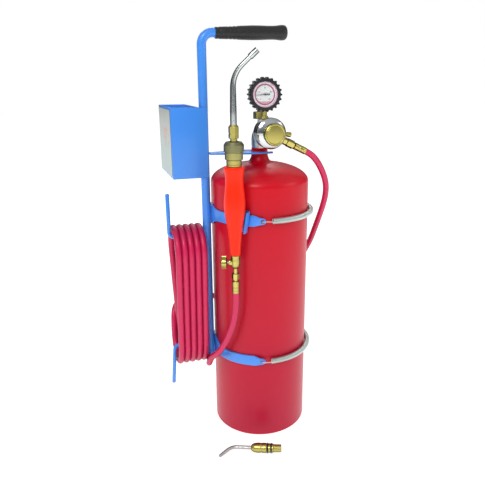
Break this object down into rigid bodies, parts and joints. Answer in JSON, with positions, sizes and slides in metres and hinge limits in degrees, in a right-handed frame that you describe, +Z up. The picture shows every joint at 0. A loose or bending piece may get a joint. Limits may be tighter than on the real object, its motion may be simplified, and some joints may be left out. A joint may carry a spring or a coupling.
{
  "type": "air acetylene torch stand",
  "caption": "Hand-carried tubular stand with a strapped gas cylinder, regulator and gauge, coiled hose, torch in its cradle and an open tip box.",
  "frame": {"origin": "on the floor, below the centre of the stand's box, the free hose left out", "axes": "+Z up, the pole and tip box towards -X, the gauge and torch face -Y"},
  "size_m": [0.2726, 0.2417, 0.6604],
  "materials": {
    "tank_enamel": "gloss enamel",
    "frame_enamel": "gloss powder coat",
    "brass": "machined, dulled in places",
    "chrome_plate": "plated, polished",
    "steel": "machined",
    "spring_zinc": "zinc plated spring wire",
    "handle_plastic": "moulded, satin",
    "hose_rubber": "smooth extruded cover",
    "black_rubber": "moulded, satin",
    "dial_print": "printed, matt",
    "pointer_black": "satin",
    "gauge_window": "clear, polished",
    "label_film": "printed film",
    "filler_mass": "porous"
  },
  "bodies": {
    "cart": {"bourdon_tube": "brass", "box_label": "label_film", "cylinder_shell": "tank_enamel", "fusible_plug": "brass", "gauge_boot": "black_rubber", "gauge_case": "steel", "gauge_dial": "dial_print", "gauge_lens": "gauge_window", "gauge_stem": "chrome_plate", "handle_grip": "black_rubber", "hose_hank": "hose_rubber", "hose_regulator_run": "hose_rubber", "hose_torch_run": "hose_rubber", "inlet_nipple": "brass", "inlet_nut": "brass", "lower_hose_hook": "frame_enamel", "lower_spring": "spring_zinc", "lower_strap": "frame_enamel", "neck_plate": "frame_enamel", "outlet_ferrule": "brass", "outlet_fitting": "brass", "outlet_hose_nut": "brass", "pole": "frame_enamel", "porous_filler": "filler_mass", "range_spring": "steel", "regulator_body": "chrome_plate", "regulator_bonnet": "chrome_plate", "regulator_diaphragm": "black_rubber", "regulator_poppet": "steel", "relief_valve": "brass", "tank_valve_body": "brass", "tip_box": "frame_enamel", "torch_cradle": "frame_enamel", "upper_hose_hook": "frame_enamel", "upper_spring": "spring_zinc", "upper_strap": "frame_enamel", "valve_packing_nut": "brass"},
    "spring_button": {"spring_button": "steel"},
    "regulator_knob": {"adjusting_knob": "brass", "adjusting_screw": "steel"},
    "gauge_pointer": {"gauge_pointer": "pointer_black"},
    "tank_valve": {"tank_valve_stem": "steel"},
    "torch": {"torch_handle": "handle_plastic", "torch_gas_tube": "brass", "torch_socket": "brass", "collar_spring": "steel", "torch_valve_body": "brass", "torch_hose_nut": "brass", "torch_ferrule": "brass"},
    "torch_knob": {"torch_valve_knob": "brass", "torch_valve_stem": "steel"},
    "collar": {"release_collar": "brass"},
    "tip": {"tip_hex": "brass", "tip_tube": "chrome_plate", "tip_sleeve": "steel"},
    "spare_tip": {"spare_tip_body": "brass", "spare_tip_tube": "steel", "spare_tip_seal_1": "black_rubber", "spare_tip_seal_2": "black_rubber"}
  },
  "joints": [
    {"name": "torch_lift", "type": "slide", "parent": "cart", "child": "torch", "axis": [0, 0, 1], "range_m": [0, 0.12]},
    {"name": "torch_valve_turn", "type": "hinge", "parent": "torch", "child": "torch_knob", "pos_m": [-0.03026, -0.06671, 0.3205], "axis": [-0.9483, 0.3173, 0], "range_deg": [0, 720]},
    {"name": "collar_slide", "type": "slide", "parent": "torch", "child": "collar", "axis": [0, 0, -1], "range_m": [0, 0.004], "stiffness_N_per_m": 1500, "springref_m": -0.002, "deforming": ["collar_spring"]},
    {"name": "tip_swivel", "type": "hinge", "parent": "torch", "child": "tip", "pos_m": [-0.03026, -0.06671, 0.51], "axis": [0, 0, 1], "continuous": true},
    {"name": "screw_advance", "type": "slide", "parent": "cart", "child": "spring_button", "axis": [0, 1, 0], "range_m": [0, 0.00255], "deforming": ["range_spring"]},
    {"name": "regulator_knob_turn", "type": "hinge", "parent": "spring_button", "child": "regulator_knob", "pos_m": [0.035, -0.05612, 0.507], "axis": [0, 1, 0], "range_deg": [0, 720]},
    {"name": "gauge_pointer_swing", "type": "hinge", "parent": "cart", "child": "gauge_pointer", "pos_m": [0.03, -0.02362, 0.5627], "axis": [0.1736, 0.9848, 0], "range_deg": [-40, 230], "stiffness_Nm_per_rad": 0.001},
    {"name": "tank_valve_turn", "type": "hinge", "parent": "cart", "child": "tank_valve", "pos_m": [0.035, 0.01388, 0.53], "axis": [0, 0, 1], "range_deg": [0, 540]},
    {"name": "spare_tip_lift", "type": "slide", "parent": "cart", "child": "spare_tip", "axis": [0, 0, 1], "range_m": [0, 0.1]}
  ],
  "couplings": [
    {"joint": "screw_advance", "follows": "regulator_knob_turn", "m_per_rad": 0.00019894}
  ]
}
